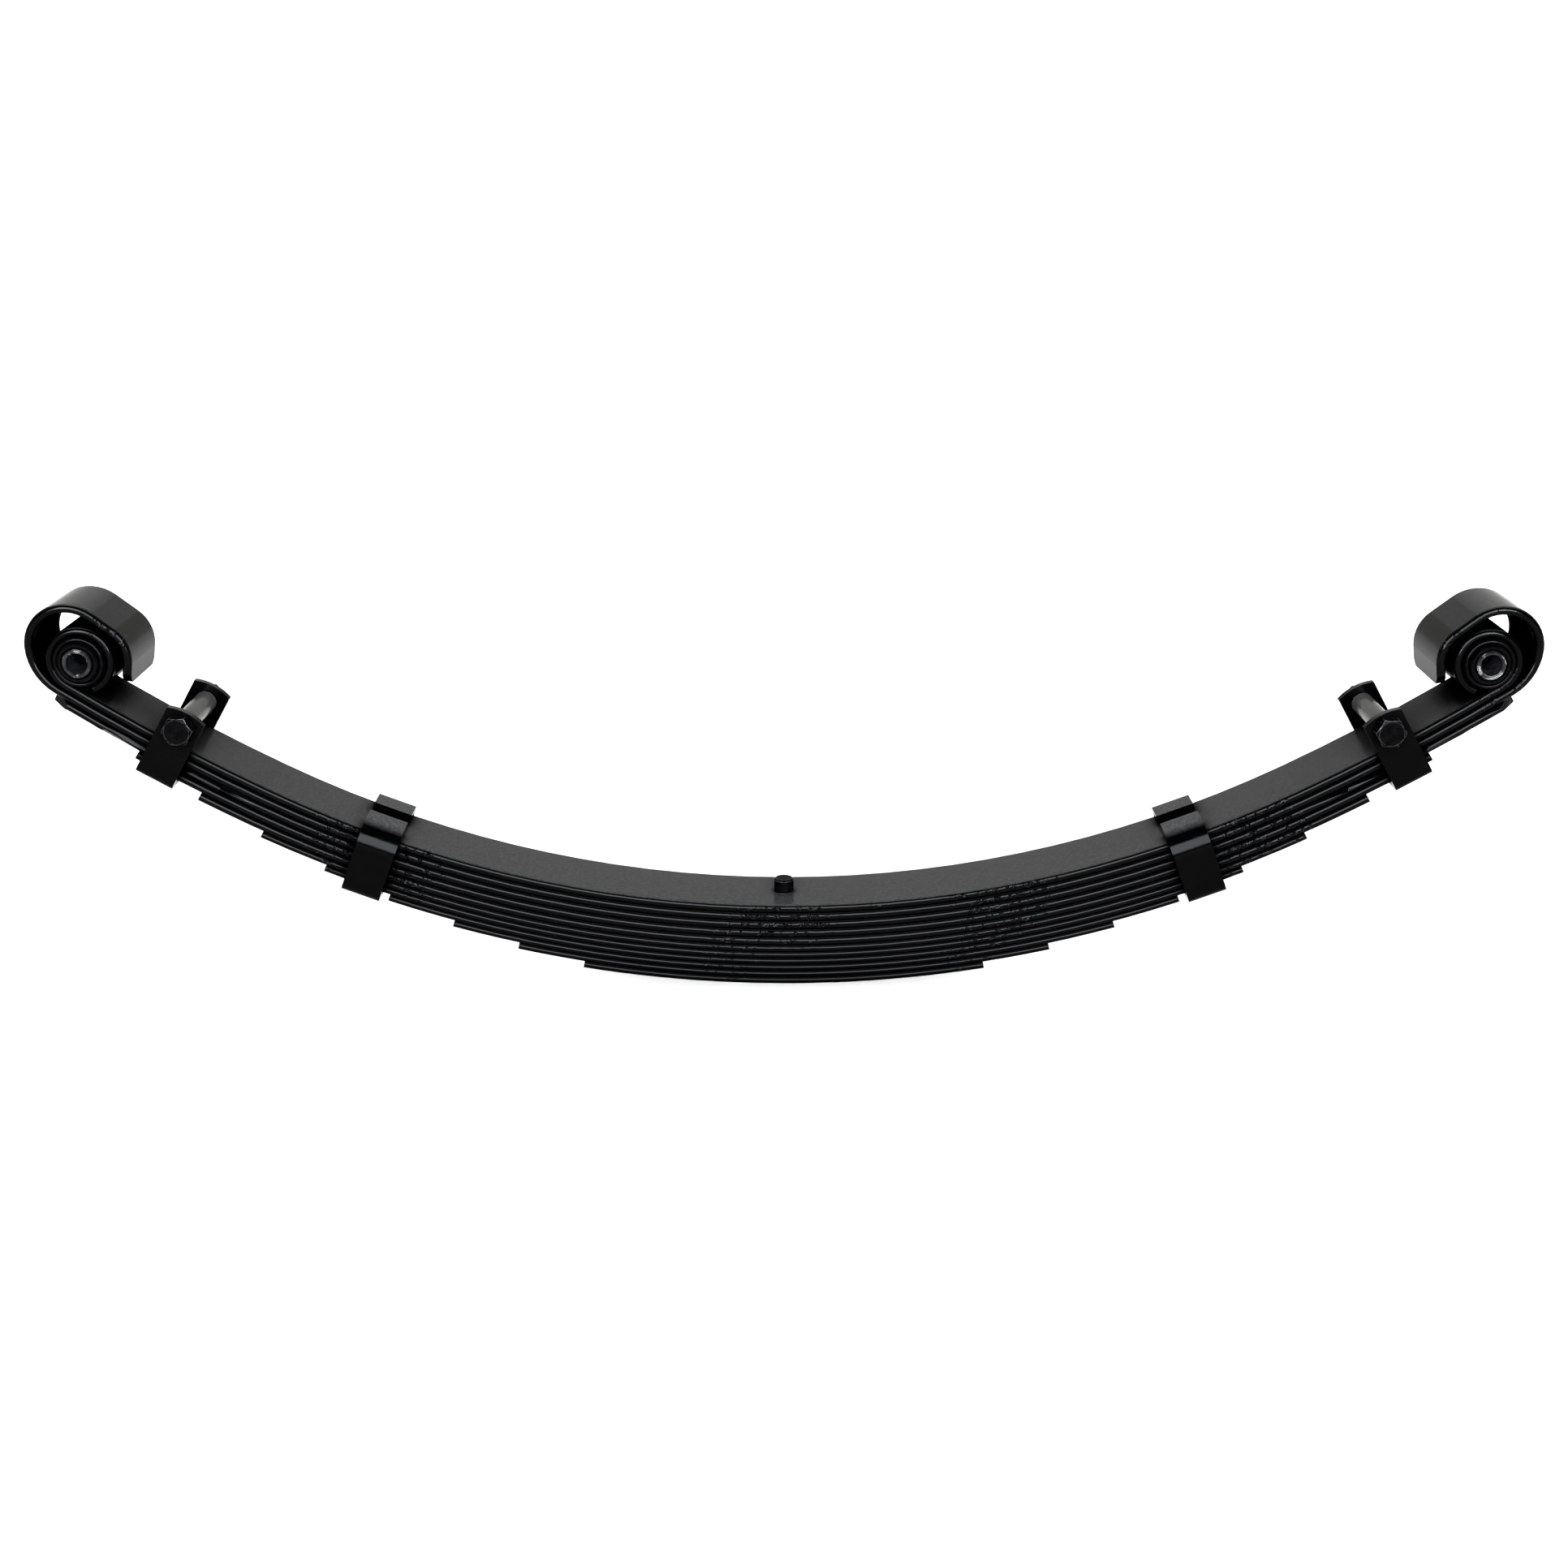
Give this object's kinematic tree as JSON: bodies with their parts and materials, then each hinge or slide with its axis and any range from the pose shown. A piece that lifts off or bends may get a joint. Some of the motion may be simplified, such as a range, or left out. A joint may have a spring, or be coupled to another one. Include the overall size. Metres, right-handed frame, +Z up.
{
  "type": "leaf spring",
  "caption": "Arched multi-leaf suspension spring with up-turned bushed eyes, a wrapped second leaf, bolted and band clips, and a centre bolt.",
  "frame": {"origin": "on the centre-bolt axis, where the round bolt head meets the top face of the main leaf", "axes": "+X along the spring from the left eye to the right eye, +Z up along the centre bolt through its round head, -Y the front side with the clip bolt heads"},
  "size_m": [1.0736, 0.1005, 0.2936],
  "materials": {
    "leaf_paint": "semi-gloss black spring paint with fine grain, runs and worn edges",
    "clip_paint": "black paint over bent strap steel",
    "bolt_paint": "black painted fasteners",
    "bushing_rubber": "moulded black rubber, slightly glossy",
    "sleeve_steel": "turned bare steel with a thin oil film",
    "spacer_steel": "dull bare steel tube"
  },
  "bodies": {
    "spring_pack": {"main_leaf": "leaf_paint", "wrapper_leaf": "leaf_paint", "leaf_03": "leaf_paint", "leaf_04": "leaf_paint", "leaf_05": "leaf_paint", "leaf_06": "leaf_paint", "leaf_07": "leaf_paint", "leaf_08": "leaf_paint", "leaf_09": "leaf_paint", "leaf_10": "leaf_paint", "leaf_11": "leaf_paint", "centre_bolt": "bolt_paint", "centre_nut": "bolt_paint", "left_eye_bushing_front": "bushing_rubber", "left_eye_bushing_back": "bushing_rubber", "left_clip_strap": "clip_paint", "left_clip_bolt": "bolt_paint", "left_clip_nut": "bolt_paint", "left_clip_rivet": "bolt_paint", "left_band_strap": "clip_paint", "left_band_rivet": "bolt_paint", "right_eye_bushing_front": "bushing_rubber", "right_eye_bushing_back": "bushing_rubber", "right_clip_strap": "clip_paint", "right_clip_bolt": "bolt_paint", "right_clip_nut": "bolt_paint", "right_clip_rivet": "bolt_paint", "right_band_strap": "clip_paint", "right_band_rivet": "bolt_paint"},
    "left_sleeve": {"left_eye_sleeve": "sleeve_steel"},
    "right_sleeve": {"right_eye_sleeve": "sleeve_steel"},
    "left_spacer": {"left_clip_spacer": "spacer_steel"},
    "right_spacer": {"right_clip_spacer": "spacer_steel"}
  },
  "joints": [
    {"name": "left_sleeve_turn", "type": "hinge", "parent": "spring_pack", "child": "left_sleeve", "pos_m": [-0.49828, 0, 0.18393], "axis": [0, 1, 0], "continuous": true},
    {"name": "right_sleeve_turn", "type": "hinge", "parent": "spring_pack", "child": "right_sleeve", "pos_m": [0.49828, 0, 0.18393], "axis": [0, 1, 0], "continuous": true},
    {"name": "left_spacer_turn", "type": "hinge", "parent": "spring_pack", "child": "left_spacer", "pos_m": [-0.42967, 0, 0.13646], "axis": [0, 1, 0], "continuous": true},
    {"name": "right_spacer_turn", "type": "hinge", "parent": "spring_pack", "child": "right_spacer", "pos_m": [0.42967, 0, 0.13646], "axis": [0, 1, 0], "continuous": true}
  ]
}
